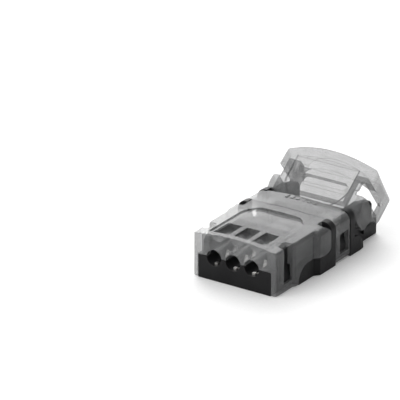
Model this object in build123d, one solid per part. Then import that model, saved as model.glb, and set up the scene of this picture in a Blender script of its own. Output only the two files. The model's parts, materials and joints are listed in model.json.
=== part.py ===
from build123d import *
from dataclasses import dataclass
import math
import os

# Solderless connector that joins a 10 mm LED strip to three round wires.
# A black moulded base carries three piercing blades, a clear fixed cover in the
# middle and one clear lever lid over each end. Sizes are in millimetres.
# +Z is up, +X is across, and Y runs from the wire end to the strip end. Everything
# is drawn with Y measured from the wire end and moved to the origin at the end.

# Driving sizes
overall_width = 15.5
base_length = 26.3
wire_pitch = overall_width / 5.05
strip_opening = 37.5

# Ribs of the base that stand up on both sides of the middle bay
rib_thickness = 1.1
rib_hook = 1.6
rib_shoulder_z = 6.65
rib_corner_radius = 1.3
half_width = overall_width / 2
rib_inner_x = half_width - rib_hook
block_top = 3.2
block_half = half_width - 1.0

# Hinges: stubs on the base turn in blind holes in the lid walls
hinge_to_rib = 1.25
stub_radius = 0.6
running_clearance = 0.05
stub_length = 0.62
lid_travel = 60.0

# Gaps and wall sizes shared by the lids and the cover
gap = 0.1
side_gap = 0.07
lid_underside_z = 5.95
side_wall = 0.98
end_wall = 0.95
tongue_half = rib_inner_x - gap
lid_flare_corner = 1.1
grip_corner = 0.5
grip_step = 0.5
tongue_radius = 2.53
cover_crown_z = 6.9
lid_foot_z = 0.1
shelf_z = 2.45

# Reach of cutting bodies past a face, and of joined bodies into each other
sky = 20.0
lid_start = -2.0
root = 0.5
past = 1.0

# Side walls of the base that carry the hinges: they rise in two slopes from the end
wall_front = 1.3
wall_front_drop = 0.95
wall_bend = 0.5
wall_bend_drop = 0.3
wall_slope_end = 3.4
wall_step = 0.9

# Lower rear corners of the lid walls
heel_length = 0.5
heel_chamfer = 0.4

# Latch noses on the base and the windows that drop over them
window_start = 1.94
window_depth = 0.35
relief_to_rib = 0.6
window_end = 4.07
sill_top = 1.2
nose_reach = 0.4
nose_top = 3.3
nose_land = 0.8
nose_end_gap = 0.15
cover_nose_reach = 0.5

# Wires and blades
wire_radius = wire_pitch * 0.39
wire_axis_z = 3.4
wire_row_shift = -0.25
wire_stop = 8.6
wire_stop_thickness = 0.8
wire_stop_top = 4.9
blade_thickness = 0.45
blade_bottom = 1.2
blade_top = 2.05
blade_tail_bottom = 1.7
blade_start = 0.5
blade_tail_length = 0.45
blade_tip_top = 2.5
blade_step = 1.3
blade_end_margin = 1.6
tooth_rise = 1.3
tooth_length = 1.0
wire_teeth = (3.0, 4.9)
strip_teeth_from_end = (3.6, 1.9)
slot_clearance = 0.03

# Dishes, pockets and grooves of the lids, and the block under the cover
wire_dish_z = 6.5
wire_dish_start = 1.0
wire_dish_end = 11.6
wire_dish_corner = 2.5
dish_narrowing = 1.8
pad_to_wall = 0.2
wire_arch_end = 1.6
pocket_end = 5.3
pocket_radius = wire_pitch * 0.37
strip_dish_z = 6.45
strip_dish_start = 0.5
strip_dish_end = 6.9
strip_dish_half = half_width * 0.66
strip_pad_half = half_width * 0.594
strip_mouth_half = half_width * 0.684
strip_mouth_rise = 2.9
groove_place = 2.9
groove_length = 7.4
groove_width = 1.3
groove_depth = 0.9
cover_block_half = half_width * 0.49
cover_block_length = 2.2
cover_foot_z = 0.3
cover_corner = 1.2
window_offset = 0.4
cover_window_top = 4.2
window_length = 2.2
bar_width = 0.4
bar_length = 0.9
bar_height = 0.07
bar_count = 6
bar_pitch = 0.95
bars_from_bay_end = 1.7


@dataclass
class LeverEnd:
    """Sizes of one end of the connector. Distances run inward from that end's face."""
    body_half: float
    front_height: float
    to_rib: float
    hinge_z: float
    wall_top: float
    bow: float
    lean: float
    front_corner: float
    edge_corner: float
    end_crown: float
    rear_crown: float
    end_shoulder: float
    rear_shoulder: float
    post_half: float
    grip_half: float
    flare_start: float
    flare_end: float
    cut_start: float
    cut_radius: float
    pad_end: float
    pad_z: float
    heel_radius: float

    @property
    def hinge(self):
        return self.to_rib - hinge_to_rib


wire_end = LeverEnd(
    body_half=half_width - 1.82,
    front_height=wire_axis_z,
    to_rib=12.57,
    hinge_z=5.2,
    wall_top=5.85,
    bow=0.0,
    lean=0.0,
    front_corner=0.5,
    edge_corner=0.4,
    end_crown=7.0,
    rear_crown=6.95,
    end_shoulder=6.5,
    rear_shoulder=6.5,
    post_half=half_width - 0.92,
    grip_half=half_width - 0.65,
    flare_start=9.0,
    flare_end=9.75,
    cut_start=5.3,
    cut_radius=2.4,
    pad_end=8.3,
    pad_z=3.9,
    heel_radius=1.0,
)
strip_end = LeverEnd(
    body_half=half_width - 1.28,
    front_height=2.4,
    to_rib=7.7,
    hinge_z=5.4,
    wall_top=6.15,
    bow=0.4,
    lean=0.1,
    front_corner=0.9,
    edge_corner=0.8,
    end_crown=7.35,
    rear_crown=7.1,
    end_shoulder=6.1,
    rear_shoulder=6.4,
    post_half=half_width,
    grip_half=half_width - 0.1,
    flare_start=5.2,
    flare_end=6.0,
    cut_start=5.3,
    cut_radius=2.3,
    pad_end=5.4,
    pad_z=4.4,
    heel_radius=0.0,
)

wire_positions = [wire_row_shift + wire_pitch * step for step in (-1, 0, 1)]
bay_start = wire_end.to_rib
bay_end = base_length - strip_end.to_rib
middle_of_bay = (bay_start + bay_end) / 2


def box(x0, x1, y0, y1, z0, z1):
    """Block between opposite corners."""
    middle = Pos((x0 + x1) / 2, (y0 + y1) / 2, (z0 + z1) / 2)
    return middle * Box(x1 - x0, y1 - y0, z1 - z0)


def along_x(face, x0, x1):
    """Side outline, drawn as (Y, Z), made solid from x0 to x1."""
    return extrude(Plane.YZ.offset(x0) * face, x1 - x0)


def along_y(face, y0, y1):
    """End outline, drawn as (X, Z), made solid from y0 to y1."""
    return extrude(Plane.XZ.offset(-y1) * face, y1 - y0)


def rod_x(y, z, radius, x0, x1):
    """Round bar along X."""
    return Pos((x0 + x1) / 2, y, z) * Rot(0, 90, 0) * Cylinder(radius, x1 - x0)


def rod_y(x, z, radius, y0, y1):
    """Round bar along Y."""
    return Pos(x, (y0 + y1) / 2, z) * Rot(90, 0, 0) * Cylinder(radius, y1 - y0)


def both_sides(solid):
    """The solid and its mirror image across the middle plane."""
    return solid + mirror(solid, about=Plane.YZ)


def outline(*edges):
    """Flat face inside a closed run of edges."""
    return make_face(Wire(list(edges)))


def at_strip_end(solid):
    """Turns a solid drawn from its own end face round to the strip end."""
    return Pos(0, base_length, 0) * Rot(0, 0, 180) * solid


def crowned_section(half, shoulder, crown, corner, low=0.0):
    """Cross-section with straight sides, rounded shoulders and a gently arched top."""
    flat = half - corner
    bend = corner * math.sqrt(0.5)
    side_z = shoulder - corner
    return outline(
        Line((-half, low), (half, low)),
        Line((half, low), (half, side_z)),
        ThreePointArc((half, side_z), (flat + bend, side_z + bend), (flat, shoulder)),
        ThreePointArc((flat, shoulder), (0, crown), (-flat, shoulder)),
        ThreePointArc((-flat, shoulder), (-flat - bend, side_z + bend), (-half, side_z)),
        Line((-half, side_z), (-half, low)),
    )


def lid_body(end):
    """Outer shape of a lid before it is hollowed: it flares towards the rib."""
    stations = [
        (lid_start, end.post_half, end.edge_corner),
        (window_end, end.post_half, end.edge_corner),
        (window_end + grip_step, end.grip_half, grip_corner),
        (end.flare_start, end.grip_half, grip_corner),
    ]
    faces = []
    for place, half, corner in stations:
        share = place / end.flare_start
        shoulder = end.end_shoulder + share * (end.rear_shoulder - end.end_shoulder)
        crown = end.end_crown + share * (end.rear_crown - end.end_crown)
        section = crowned_section(half, shoulder, crown, corner, lid_foot_z)
        faces.append(Plane.XZ.offset(-place) * section)
    rear_stations = [
        (end.flare_end, end.rear_shoulder, cover_crown_z),
        (end.hinge + tongue_radius, end.rear_shoulder + gap, cover_crown_z),
    ]
    for place, shoulder, crown in rear_stations:
        section = crowned_section(half_width, shoulder, crown, lid_flare_corner, lid_foot_z)
        faces.append(Plane.XZ.offset(-place) * section)
    return loft(faces, ruled=True)


def front_clip(end):
    """Clips a lid to two rounded corners and to its bowed end that leans outwards."""
    radius = end.front_corner
    half = end.post_half
    bend = radius * (1 - math.sqrt(0.5))
    depth = end.hinge + tongue_radius + past
    wide = half_width + past
    front = Line((-half + radius, 0), (half - radius, 0))
    if end.bow > 0:
        front = ThreePointArc((-half + radius, 0), (0, -end.bow), (half - radius, 0))
    face = outline(
        front,
        ThreePointArc((half - radius, 0), (half - bend, bend), (half, radius)),
        Line((half, radius), (wide, radius)),
        Line((wide, radius), (wide, depth)),
        Line((wide, depth), (-wide, depth)),
        Line((-wide, depth), (-wide, radius)),
        Line((-wide, radius), (-half, radius)),
        ThreePointArc((-half, radius), (-half + bend, bend), (-half + radius, 0)),
    )
    return extrude(face, sky, dir=(0, -end.lean, 1))


def wall_outline(end):
    """Side view of a lid wall, with its stepped lower edge and round knuckle."""
    rear = end.to_rib - gap
    knuckle = rear - end.hinge
    bend = math.sqrt(0.5)
    cut = end.cut_radius + gap
    centre = min(end.cut_start + end.cut_radius, rear - heel_length)
    start = centre - cut
    shelf = shelf_z + gap
    drop = shelf - cut
    edges = [
        Line((lid_start, lid_foot_z), (start, lid_foot_z)),
        Line((start, lid_foot_z), (start, drop)),
        ThreePointArc((start, drop), (centre - cut * bend, drop + cut * bend), (centre, shelf)),
    ]
    rise = end.heel_radius
    if rise > 0:
        edges += [
            Line((centre, shelf), (rear - rise, shelf)),
            ThreePointArc(
                (rear - rise, shelf),
                (rear - rise + rise * bend, shelf + rise * (1 - bend)),
                (rear, shelf + rise),
            ),
            Line((rear, shelf + rise), (rear, end.hinge_z)),
        ]
    else:
        edges += [
            Line((centre, shelf), (rear, shelf + heel_chamfer)),
            Line((rear, shelf + heel_chamfer), (rear, end.hinge_z)),
        ]
    top = end.hinge_z + knuckle
    edges += [
        ThreePointArc(
            (rear, end.hinge_z),
            (end.hinge + knuckle * bend, end.hinge_z + knuckle * bend),
            (end.hinge, top),
        ),
        Line((end.hinge, top), (end.hinge, sky)),
        Line((end.hinge, sky), (lid_start, sky)),
        Line((lid_start, sky), (lid_start, lid_foot_z)),
    ]
    return outline(*edges)


def lid_walls(end):
    """Two side walls that hang over the base."""
    inner = end.body_half + side_gap
    return both_sides(along_x(wall_outline(end), inner, half_width + past))


def lid_plate(end):
    """Top plate, with a tongue between the ribs that turns about the hinge."""
    wide = half_width + past
    rear = end.hinge + tongue_radius
    front = box(-wide, wide, lid_start, end.hinge, lid_underside_z, sky)
    tongue = box(-tongue_half, tongue_half, end.hinge, rear, lid_underside_z, sky)
    tongue &= rod_x(end.hinge, end.hinge_z, tongue_radius, -wide, wide)
    return front + tongue


def wall_relief(end):
    """Grooves under the top plate that clear the tops of the base's side walls."""
    inner = end.body_half - side_wall - gap
    outer = end.body_half + side_gap
    rear = end.hinge + tongue_radius + past
    return both_sides(box(inner, outer, wall_slope_end - gap, rear, 0, end.wall_top + gap))


def lid_end_wall(end):
    """Wall across the end face, standing just above the base."""
    wide = half_width + past
    return box(-wide, wide, lid_start, end_wall, end.front_height + gap, sky)


def lid_pad(end, half):
    """Thick middle of a lid that presses on the wires or the strip."""
    return box(-half, half, end_wall, end.pad_end, end.pad_z, lid_underside_z)


def latch_cuts(end):
    """Open windows in the lid walls, and relief inside them so the sill clears the nose."""
    inner = end.body_half + side_gap
    wide = half_width + past
    window = box(inner - window_depth, wide, window_start, window_end, sill_top, sky)
    relief_x = end.body_half + nose_reach + side_gap
    rear = end.to_rib - relief_to_rib
    relief = box(inner - gap, relief_x, window_start, rear, 0, nose_top + gap)
    return both_sides(window + relief)


def hinge_holes(end):
    """Blind holes for the stubs of the base."""
    inner = end.body_half + side_gap
    radius = stub_radius + running_clearance
    depth = end.body_half + stub_length + gap
    return both_sides(rod_x(end.hinge, end.hinge_z, radius, inner - gap, depth))


def thumb_recess(depth_z, front, shoulder, rear, half, rear_half):
    """Shallow dish in the top, square in front and rounded towards the hinge."""
    bend = (shoulder + rear) / 2
    face = outline(
        Line((-half, front), (half, front)),
        Line((half, front), (half, shoulder)),
        Bezier((half, shoulder), (half, bend), (rear_half, rear)),
        Line((rear_half, rear), (-rear_half, rear)),
        Bezier((-rear_half, rear), (-half, bend), (-half, shoulder)),
        Line((-half, shoulder), (-half, front)),
    )
    return Pos(0, 0, depth_z) * extrude(face, sky)


def lever_lid(end, pad_half):
    """Hollow clear lid with walls, end wall, pad, latch windows and hinge holes."""
    inside = lid_walls(end) + lid_plate(end) + lid_end_wall(end) + lid_pad(end, pad_half)
    lid = lid_body(end) & inside
    lid &= front_clip(end)
    return lid - latch_cuts(end) - hinge_holes(end) - wall_relief(end)


def wire_lid():
    """Lid over the wire end: three arches over the wires and a long thumb dish."""
    half = wire_end.body_half - side_wall
    lid = lever_lid(wire_end, half - pad_to_wall)
    lid -= thumb_recess(
        wire_dish_z,
        wire_dish_start,
        wire_dish_end - wire_dish_corner,
        wire_dish_end,
        half,
        half - dish_narrowing,
    )
    arch_end = wire_end.pad_end - wire_arch_end
    for x in wire_positions:
        lid -= rod_y(x, wire_axis_z, wire_radius, lid_start, arch_end)
        lid -= rod_y(x, wire_dish_z + gap, pocket_radius, wire_dish_start, pocket_end)
    return lid


def strip_lid():
    """Lid over the strip end, drawn shut and then swung open about its hinge."""
    lid = lever_lid(strip_end, strip_pad_half)
    lid -= strip_arch()
    lid -= thumb_recess(
        strip_dish_z,
        strip_dish_start,
        (strip_dish_start + strip_dish_end) / 2,
        strip_dish_end,
        strip_dish_half,
        strip_dish_half - dish_narrowing,
    )
    lid -= pad_groove()
    hinge_y = base_length - strip_end.hinge
    hinge = Pos(0, hinge_y, strip_end.hinge_z)
    return hinge * Rot(strip_opening, 0, 0) * hinge.inverse() * at_strip_end(lid)


def strip_arch():
    """Arched mouth in the end wall of the strip lid."""
    half = strip_mouth_half
    foot = strip_end.front_height
    face = outline(
        Line((-half, foot), (half, foot)),
        ThreePointArc((half, foot), (0, foot + strip_mouth_rise), (-half, foot)),
    )
    return along_y(face, lid_start, end_wall)


def pad_groove():
    """Round-ended groove across the pad that leaves room for the blade tips."""
    groove = extrude(SlotOverall(groove_length, groove_width), groove_depth)
    return Pos(0, groove_place, strip_end.pad_z) * groove


def grip_bars(z, y):
    """Row of short raised grip bars across the cover."""
    bars = []
    near = y - bar_length / 2
    far = y + bar_length / 2
    for step in range(bar_count):
        start = (step - (bar_count - 1) / 2) * bar_pitch - bar_width / 2
        bars.append(box(start, start + bar_width, near, far, z - gap, z + bar_height))
    return bars


def center_cover():
    """Clear fixed cover over the middle bay, latched on two noses of the base."""
    start = bay_start + rib_thickness + gap
    end = bay_end - rib_thickness - gap
    half = half_width - gap
    shoulder = rib_shoulder_z - gap
    section = crowned_section(half, shoulder, cover_crown_z, cover_corner, cover_foot_z)
    wall_x = block_half + side_gap
    shell = along_y(section, start, end)
    shell -= box(-wall_x, wall_x, start - past, end + past, 0, lid_underside_z)
    near = wire_end.hinge + past
    hinge_y = base_length - strip_end.hinge
    far = hinge_y - past
    plate = along_y(section, near, far)
    plate &= box(-tongue_half, tongue_half, near, far, lid_underside_z, sky)
    cover = shell + plate + cover_block()
    reach = tongue_half + gap
    cover -= rod_x(wire_end.hinge, wire_end.hinge_z, tongue_radius + gap, -reach, reach)
    cover -= rod_x(hinge_y, strip_end.hinge_z, tongue_radius + gap, -reach, reach)
    cover -= cover_windows()
    for bar in grip_bars(cover_crown_z, bay_end - bars_from_bay_end):
        cover += bar
    return cover


def cover_block():
    """Block under the cover that holds the blades down."""
    half = cover_block_half
    start = middle_of_bay - cover_block_length / 2
    end = middle_of_bay + cover_block_length / 2
    return box(-half, half, start, end, block_top, lid_underside_z)


def cover_window_span():
    """Start and end of the windows in the cover's walls."""
    middle = middle_of_bay + window_offset
    return middle - window_length / 2, middle + window_length / 2


def cover_windows():
    """Windows in the cover's walls, over the noses."""
    start, end = cover_window_span()
    wide = half_width + past
    return both_sides(box(block_half, wide, start, end, sill_top, cover_window_top))


def nose(body_half, start, end, reach):
    """Wedge on a side of the base that a sill snaps under."""
    flat = sill_top + gap
    inside = body_half - root
    face = make_face(
        Polyline(
            (inside, flat),
            (body_half + reach, flat),
            (body_half + reach, flat + nose_land),
            (body_half, nose_top),
            (inside, nose_top),
            close=True,
        )
    )
    return both_sides(along_y(face, start, end))


def side_wall_outline(end):
    """Side view of the upright wall that carries a hinge stub."""
    slope = math.radians(lid_travel)
    round_top = end.wall_top - end.hinge_z
    bend = math.radians(60)
    contact_y = end.hinge + round_top * math.sin(slope)
    contact_z = end.hinge_z + round_top * math.cos(slope)
    foot_y = contact_y + (contact_z - block_top) / math.tan(slope)
    middle = (
        end.hinge + round_top * math.cos(bend),
        end.hinge_z + round_top * math.sin(bend),
    )
    low = end.front_height - root
    slope_top = lid_underside_z - gap
    points = [
        (contact_y, contact_z),
        (foot_y, block_top),
        (foot_y, low),
        (wall_front, low),
        (wall_front, slope_top - wall_front_drop),
        (wall_front + wall_bend, slope_top - wall_bend_drop),
        (wall_slope_end, slope_top),
        (wall_slope_end + wall_step, end.wall_top),
        (end.hinge, end.wall_top),
    ]
    return outline(
        ThreePointArc(points[-1], middle, points[0]),
        *[Line(first, second) for first, second in zip(points, points[1:])],
    )


def ledge_outline(end):
    """Side view of the wide foot of the base under a lid wall."""
    bend = math.sqrt(0.5)
    radius = end.cut_radius
    centre = end.cut_start + radius
    drop = shelf_z - radius
    edges = [
        Line((end.cut_start, 0), (end.cut_start, drop)),
        ThreePointArc(
            (end.cut_start, drop),
            (centre - radius * bend, drop + radius * bend),
            (centre, shelf_z),
        ),
    ]
    rear = end.to_rib
    rise = end.heel_radius
    top = shelf_z
    if rise > 0:
        rise += gap
        top = shelf_z + rise
        edges += [
            Line((centre, shelf_z), (rear - rise, shelf_z)),
            ThreePointArc(
                (rear - rise, shelf_z),
                (rear - rise + rise * bend, shelf_z + rise * (1 - bend)),
                (rear, top),
            ),
        ]
    elif rear > centre:
        edges.append(Line((centre, shelf_z), (rear, shelf_z)))
    edges += [
        Line((rear, top), (rear + root, top)),
        Line((rear + root, top), (rear + root, 0)),
        Line((rear + root, 0), (end.cut_start, 0)),
    ]
    return outline(*edges)


def plan_flare(end):
    """Plan view of one end, as wide as the lid there."""
    depth = end.to_rib + root
    points = [
        (end.grip_half, 0),
        (end.grip_half, end.flare_start),
        (half_width, end.flare_end),
        (half_width, depth),
    ]
    mirrored = [(-x, y) for x, y in reversed(points)]
    return make_face(Polyline(*points, *mirrored, close=True))


def base_end(end, block_height, block_depth):
    """One end of the base: floor, wide foot, side walls, hinge stubs and noses."""
    half = end.body_half
    solid = box(-half, half, 0, block_depth, 0, block_height)
    solid += box(-half, half, 0, end.to_rib + gap, 0, min(block_height, block_top))
    foot = along_x(ledge_outline(end), half - root, half_width)
    solid += both_sides(foot) & extrude(plan_flare(end), sky)
    wall = along_x(side_wall_outline(end), half - side_wall, half)
    wall += rod_x(end.hinge, end.hinge_z, stub_radius, half - root, half + stub_length)
    solid += both_sides(wall)
    solid += nose(half, window_start + nose_end_gap, window_end - nose_end_gap, nose_reach)
    return solid


def rib(start):
    """Pair of ribs whose tips hook over the rounded corners of the lids and cover."""
    section = crowned_section(
        half_width, rib_shoulder_z, cover_crown_z, rib_corner_radius
    )
    slab = along_y(section, start, start + rib_thickness)
    upper = both_sides(box(rib_inner_x, half_width, start, start + rib_thickness, 0, sky))
    lower = box(-half_width, half_width, start, start + rib_thickness, 0, block_top)
    return slab & (upper + lower)


def base():
    """Black body with wire troughs, strip channel, middle block, ribs and blade slots."""
    solid = base_end(wire_end, wire_end.front_height, wire_stop + wire_stop_thickness)
    half = wire_end.body_half
    solid += box(-half, half, wire_stop, wire_stop + wire_stop_thickness, 0, wire_stop_top)
    solid += at_strip_end(base_end(strip_end, strip_end.front_height, strip_end.to_rib))
    solid += box(-block_half, block_half, bay_start, bay_end, 0, block_top)
    solid += rib(bay_start)
    solid += rib(bay_end - rib_thickness)
    start, end = cover_window_span()
    solid += nose(block_half, start + nose_end_gap, end - nose_end_gap, cover_nose_reach)
    for x in wire_positions:
        solid -= rod_y(x, wire_axis_z, wire_radius, -past, wire_stop)
        solid -= blade_slot(x)
    return solid


def blade_slot(x):
    """Upright slot that a piercing blade is pushed down into."""
    front = blade_start - gap
    rear = base_length - blade_end_margin + gap
    face = make_face(
        Polyline(
            (front, blade_tail_bottom),
            (blade_step, blade_tail_bottom),
            (blade_step, blade_bottom),
            (rear, blade_bottom),
            (rear, sky),
            (front, sky),
            close=True,
        )
    )
    reach = blade_thickness / 2 + slot_clearance
    return along_x(face, x - reach, x + reach)


def blade(x):
    """Flat stamping on edge, with two teeth under the wire and two under the strip."""
    rear = base_length - blade_end_margin
    teeth = list(wire_teeth) + [rear - reach for reach in strip_teeth_from_end]
    points = [
        (blade_start, blade_tip_top),
        (blade_start + blade_tail_length, blade_tip_top),
        (blade_start + blade_tail_length, blade_top),
    ]
    for start in teeth:
        points.append((start, blade_top))
        points.append((start + tooth_length / 2, blade_top + tooth_rise))
        points.append((start + tooth_length, blade_top))
    step = blade_step + 2 * side_gap
    points += [
        (rear, blade_top),
        (rear, blade_bottom),
        (step, blade_bottom),
        (step, blade_tail_bottom),
        (blade_start, blade_tail_bottom),
    ]
    face = make_face(Polyline(*points, close=True))
    return along_x(face, x - blade_thickness / 2, x + blade_thickness / 2)


def main():
    """Writes one file for each separate piece, with the origin under the middle."""
    pieces = {
        "base": base(),
        "center_cover": center_cover(),
        "wire_lid": wire_lid(),
        "strip_lid": strip_lid(),
        "contact_left": blade(wire_positions[0]),
        "contact_middle": blade(wire_positions[1]),
        "contact_right": blade(wire_positions[2]),
    }
    os.makedirs("parts", exist_ok=True)
    to_origin = Pos(0, -base_length / 2, 0)
    for name, solid in pieces.items():
        export_step(to_origin * solid, f"parts/{name}.step")


main()
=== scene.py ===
import json
import math

import bpy
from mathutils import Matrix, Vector


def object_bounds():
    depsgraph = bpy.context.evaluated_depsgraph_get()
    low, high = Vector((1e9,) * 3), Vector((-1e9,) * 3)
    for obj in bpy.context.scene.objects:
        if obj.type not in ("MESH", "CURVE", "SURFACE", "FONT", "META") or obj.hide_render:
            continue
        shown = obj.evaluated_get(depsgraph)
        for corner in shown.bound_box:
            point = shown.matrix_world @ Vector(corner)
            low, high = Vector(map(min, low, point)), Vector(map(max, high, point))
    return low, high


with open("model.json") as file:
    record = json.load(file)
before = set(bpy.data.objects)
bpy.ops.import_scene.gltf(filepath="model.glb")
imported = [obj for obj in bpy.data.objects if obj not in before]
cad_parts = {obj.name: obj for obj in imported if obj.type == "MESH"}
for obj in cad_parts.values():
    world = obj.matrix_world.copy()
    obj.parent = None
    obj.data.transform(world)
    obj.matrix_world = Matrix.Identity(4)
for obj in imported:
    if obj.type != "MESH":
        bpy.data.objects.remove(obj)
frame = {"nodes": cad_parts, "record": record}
cad_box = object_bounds()

MM = 0.001

# Photograph's viewing angle: turned 34 degrees to the right and 23.3 degrees up
AZIMUTH = math.radians(34.0)
ELEVATION = math.radians(23.3)
FRAME_WIDTH = 55.6 * MM
LENS = 400.0
SENSOR = 36.0
NEAREST_SEEN = 0.01
FARTHEST_SEEN = 20.0
# The object sits right of and below the middle of the frame
OBJECT_RIGHT = 12.03 * MM
OBJECT_DOWN = 7.49 * MM

# Studio: a pale floor, an even white surround and two soft boxes
FLOOR_HALF = 3.0
FLOOR_DROP = 0.05 * MM
SURROUND = 0.72
BOX_DISTANCE = 0.6
BOX_SIZE = 0.6
BACK_BOX_FROM = Vector((-0.52, 0.72, 0.46))
BACK_BOX_WATTS = 4.1
FRONT_BOX_FROM = Vector((-0.45, -0.85, 0.3))
FRONT_BOX_WATTS = 3.3

# Sharp edges are marked within this many millimetres. The two agreements compare the surface's own
# normal with one averaged over that width: an edge shows fully below the first and not above the second.
# On the black plastic this mark is paler wear; on the clear plastic it carries painted shade
EDGE_WIDTH = 0.25
EDGE_FULL_AGREEMENT = 0.82
EDGE_NO_AGREEMENT = 0.97

# A face counts as a side wall from the first facing to the second. Side walls are less see-through, as
# thicker plastic is, and darker in colour, which is painted shade.
WALL_FACING_FROM = 0.50
WALL_FACING_FULL = 0.95

# Colours, darkest and lightest of each
BLACK_MOULDED = ((0.0030, 0.0030, 0.0034), (0.0065, 0.0065, 0.0070))
BLACK_WORN = ((0.010, 0.010, 0.011), (0.022, 0.022, 0.023))
CLEAR_TOP = ((0.145, 0.147, 0.149), (0.205, 0.207, 0.209))
# The clear plastic's second colour is its tint darkened as painted shade, for its side walls and sharp
# edges
CLEAR_PAINTED_SHADE = ((0.055, 0.056, 0.057), (0.085, 0.086, 0.087))
TIN = ((0.50, 0.49, 0.47), (0.70, 0.69, 0.67))
WHITE_PAPER = ((0.92, 0.92, 0.92), (0.95, 0.95, 0.95))

# How much the clear plastic hides on its top, side walls and sharp edges, least and most. The extra
# hiding along sharp edges, with the darker colour there, is painted shade.
ALPHA_TOP = (0.36, 0.43)
ALPHA_WALL = (0.52, 0.60)
ALPHA_PAINTED_EDGE_SHADE = (0.60, 0.68)


def viewing_axes():
    """Right, up and backward directions of the camera."""
    sa, ca = math.sin(AZIMUTH), math.cos(AZIMUTH)
    se, ce = math.sin(ELEVATION), math.cos(ELEVATION)
    right = Vector((ca, sa, 0))
    back = Vector((sa * ce, -ca * ce, se))
    return right, back.cross(right), back


def make_camera():
    """Long lens at the photograph's angle, moved sideways so the object sits off centre."""
    right, up, back = viewing_axes()
    distance = FRAME_WIDTH / SENSOR * LENS
    data = bpy.data.cameras.new("camera")
    data.lens = LENS
    data.sensor_width = SENSOR
    data.clip_start = NEAREST_SEEN
    data.clip_end = FARTHEST_SEEN
    camera = bpy.data.objects.new("camera", data)
    target = up * OBJECT_DOWN - right * OBJECT_RIGHT
    camera.location = target + back * distance
    camera.rotation_mode = "QUATERNION"
    camera.rotation_quaternion = back.to_track_quat("Z", "Y")
    bpy.context.collection.objects.link(camera)
    bpy.context.scene.camera = camera


def soft_box(name, direction, watts):
    """Large square lamp that faces the object from one side."""
    data = bpy.data.lights.new(name, "AREA")
    data.energy = watts
    data.size = BOX_SIZE
    lamp = bpy.data.objects.new(name, data)
    aim = direction.normalized()
    lamp.location = aim * BOX_DISTANCE
    lamp.rotation_mode = "QUATERNION"
    lamp.rotation_quaternion = aim.to_track_quat("Z", "Y")
    bpy.context.collection.objects.link(lamp)


def make_light():
    """Even surround with one soft box behind on the left and a weaker one in front."""
    world = bpy.data.worlds.new("world")
    bpy.context.scene.world = world
    world.use_nodes = True
    background = world.node_tree.nodes["Background"]
    background.inputs["Color"].default_value = (1, 1, 1, 1)
    background.inputs["Strength"].default_value = SURROUND
    soft_box("back_box", BACK_BOX_FROM, BACK_BOX_WATTS)
    soft_box("front_box", FRONT_BOX_FROM, FRONT_BOX_WATTS)
    bpy.context.scene.view_settings.view_transform = "Standard"


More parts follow.
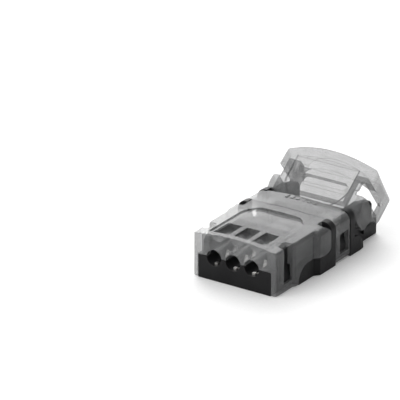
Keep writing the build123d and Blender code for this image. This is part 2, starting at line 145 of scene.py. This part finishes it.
class Graph:
    """Short way to write a material's nodes, with sizes given in millimetres."""

    def __init__(self, name):
        self.material = bpy.data.materials.new(name)
        self.material.use_nodes = True
        self.tree = self.material.node_tree
        self.shader = self.tree.nodes["Principled BSDF"]
        self.place = self.tree.nodes.new("ShaderNodeTexCoord").outputs["Object"]

    def node(self, kind, **settings):
        node = self.tree.nodes.new(kind)
        for key, value in settings.items():
            setattr(node, key, value)
        return node

    def link(self, source, target):
        self.tree.links.new(source, target)

    def stretched(self, x, y, z):
        """Object coordinates scaled by axis."""
        mapping = self.node("ShaderNodeMapping")
        mapping.inputs["Scale"].default_value = (x, y, z)
        self.link(self.place, mapping.inputs["Vector"])
        return mapping.outputs["Vector"]

    def noise(self, size_mm, detail=4.0, place=None):
        """Cloudy pattern whose blotches are about size_mm across."""
        node = self.node("ShaderNodeTexNoise")
        node.inputs["Scale"].default_value = 1.0 / (size_mm * MM)
        node.inputs["Detail"].default_value = detail
        self.link(place or self.place, node.inputs["Vector"])
        return node.outputs["Fac"]

    def ramp(self, source, low, high, start=0.3, end=0.7):
        """Number that runs from low to high as the source rises."""
        node = self.node("ShaderNodeMapRange")
        node.inputs["From Min"].default_value = start
        node.inputs["From Max"].default_value = end
        node.inputs["To Min"].default_value = low
        node.inputs["To Max"].default_value = high
        self.link(source, node.inputs["Value"])
        return node.outputs["Result"]

    def colours(self, source, low, high, start=0.3, end=0.7):
        """Colour that runs from low to high as the source rises."""
        node = self.node("ShaderNodeValToRGB")
        node.color_ramp.elements[0].position = start
        node.color_ramp.elements[0].color = (*low, 1)
        node.color_ramp.elements[1].position = end
        node.color_ramp.elements[1].color = (*high, 1)
        self.link(source, node.inputs["Fac"])
        return node.outputs["Color"]

    def facing_x(self):
        """0 to 1: how squarely the surface faces along the hinge axis, as the side walls do."""
        apart = self.node("ShaderNodeSeparateXYZ")
        self.link(self.node("ShaderNodeNewGeometry").outputs["Normal"], apart.inputs["Vector"])
        size = self.node("ShaderNodeMath", operation="ABSOLUTE")
        self.link(apart.outputs["X"], size.inputs[0])
        return size.outputs["Value"]

    def edges(self):
        """0 on open faces, rising to 1 along sharp edges."""
        rounded = self.node("ShaderNodeBevel")
        rounded.inputs["Radius"].default_value = EDGE_WIDTH * MM
        agreement = self.node("ShaderNodeVectorMath", operation="DOT_PRODUCT")
        self.link(rounded.outputs["Normal"], agreement.inputs[0])
        self.link(self.node("ShaderNodeNewGeometry").outputs["Normal"], agreement.inputs[1])
        return self.ramp(agreement.outputs["Value"], 1.0, 0.0, EDGE_FULL_AGREEMENT, EDGE_NO_AGREEMENT)

    def mixed(self, factor, first, second):
        """First number or colour where the factor is 0, second where it is 1."""
        colour = first.type == "RGBA"
        node = self.node("ShaderNodeMix", data_type="RGBA" if colour else "FLOAT")
        inputs = [i for i in node.inputs if i.enabled]
        self.link(factor, inputs[0])
        self.link(first, inputs[1])
        self.link(second, inputs[2])
        return [o for o in node.outputs if o.enabled][0]

    def bump(self, source, depth_mm, strength=1.0, below=None):
        """Fine relief added to the surface's own normal."""
        node = self.node("ShaderNodeBump")
        node.inputs["Distance"].default_value = depth_mm * MM
        node.inputs["Strength"].default_value = strength
        self.link(source, node.inputs["Height"])
        if below:
            self.link(below, node.inputs["Normal"])
        return node.outputs["Normal"]

    def set(self, **values):
        """Sets or links sockets of the main shader, named with underscores."""
        for key, value in values.items():
            socket = self.shader.inputs[key.replace("_", " ")]
            if isinstance(value, bpy.types.NodeSocket):
                self.link(value, socket)
            else:
                socket.default_value = value


def black_plastic():
    """Moulded black nylon: fine eroded texture, faint flow marks and paler, worn edges."""
    g = Graph("black_plastic")
    flow = g.noise(3.0, 3.0, g.stretched(1.0, 0.35, 1.0))
    grain = g.noise(0.06, 2.0)
    moulded = g.colours(flow, *BLACK_MOULDED)
    worn = g.colours(grain, *BLACK_WORN)
    scuffs = g.noise(0.5, 6.0, g.stretched(1.0, 3.0, 1.0))
    g.set(
        Base_Color=g.mixed(g.edges(), moulded, worn),
        Roughness=g.ramp(scuffs, 0.36, 0.56),
        Normal=g.bump(scuffs, 0.010, 0.35, g.bump(grain, 0.004, 0.6)),
        IOR=1.46,
        Specular_IOR_Level=0.15,
    )
    return g.material


def smoky_clear():
    """Clear polycarbonate with a smoky tint. Its side walls are less see-through, as thicker plastic is,
    and carry painted shade in a darker colour; its sharp edges carry painted shade too.
    """
    g = Graph("smoky_clear")
    flow = g.noise(2.4, 3.0, g.stretched(1.0, 0.4, 1.0))
    haze = g.noise(0.35, 4.0)
    ripple = g.noise(1.1, 2.0)
    # Side walls facing along the hinge axis: less see-through as thicker plastic, and darker in colour
    # as painted shade
    thick_wall_and_painted_shade = g.ramp(g.facing_x(), 0.0, 1.0, WALL_FACING_FROM, WALL_FACING_FULL)
    top = g.colours(flow, *CLEAR_TOP)
    # Painted shade: a darker copy of the clear tint
    painted_shade = g.colours(flow, *CLEAR_PAINTED_SHADE)
    # Sharp edges of the clear plastic get painted shade: the darker colour and more hiding
    painted_edge_shade = g.edges()
    open_face = g.mixed(thick_wall_and_painted_shade, g.ramp(flow, *ALPHA_TOP), g.ramp(flow, *ALPHA_WALL))
    g.set(
        Base_Color=g.mixed(painted_edge_shade, g.mixed(thick_wall_and_painted_shade, top, painted_shade), painted_shade),
        Roughness=g.ramp(haze, 0.05, 0.14),
        Alpha=g.mixed(painted_edge_shade, open_face, g.ramp(flow, *ALPHA_PAINTED_EDGE_SHADE)),
        Normal=g.bump(ripple, 0.010, 0.4),
        IOR=1.50,
    )
    return g.material


def tinned():
    """Stamped contact with a dull tin plating, brushed along its length."""
    g = Graph("tinned_contact")
    brushed = g.noise(0.05, 4.0, g.stretched(1.0, 0.06, 1.0))
    stain = g.noise(0.9, 4.0)
    g.set(
        Base_Color=g.colours(stain, *TIN),
        Roughness=g.ramp(brushed, 0.24, 0.46),
        Normal=g.bump(brushed, 0.006, 0.5),
        Metallic=1.0,
    )
    return g.material


def paper():
    """White matt paper."""
    g = Graph("floor")
    fibre = g.noise(0.4, 3.0)
    g.set(
        Base_Color=g.colours(fibre, *WHITE_PAPER),
        Roughness=0.95,
        Specular_IOR_Level=0.1,
    )
    return g.material


def make_floor():
    """Level sheet just under the object, far larger than the frame."""
    mesh = bpy.data.meshes.new("floor")
    s = FLOOR_HALF
    mesh.from_pydata([(-s, -s, 0), (s, -s, 0), (s, s, 0), (-s, s, 0)], [], [(0, 1, 2, 3)])
    floor = bpy.data.objects.new("floor", mesh)
    floor.location.z = cad_box[0][2] - FLOOR_DROP
    mesh.materials.append(paper())
    bpy.context.collection.objects.link(floor)


def finish_nodes():
    """Gives each piece of the frame its material."""
    materials = {
        "black_body": black_plastic(),
        "smoky_clear": smoky_clear(),
        "tinned_contact": tinned(),
    }
    for entry in frame["record"]["subparts"]:
        node = frame["nodes"][entry["node"]]
        node.data.materials.clear()
        node.data.materials.append(materials[entry["material_slot"]])


make_camera()
make_light()
make_floor()
finish_nodes()
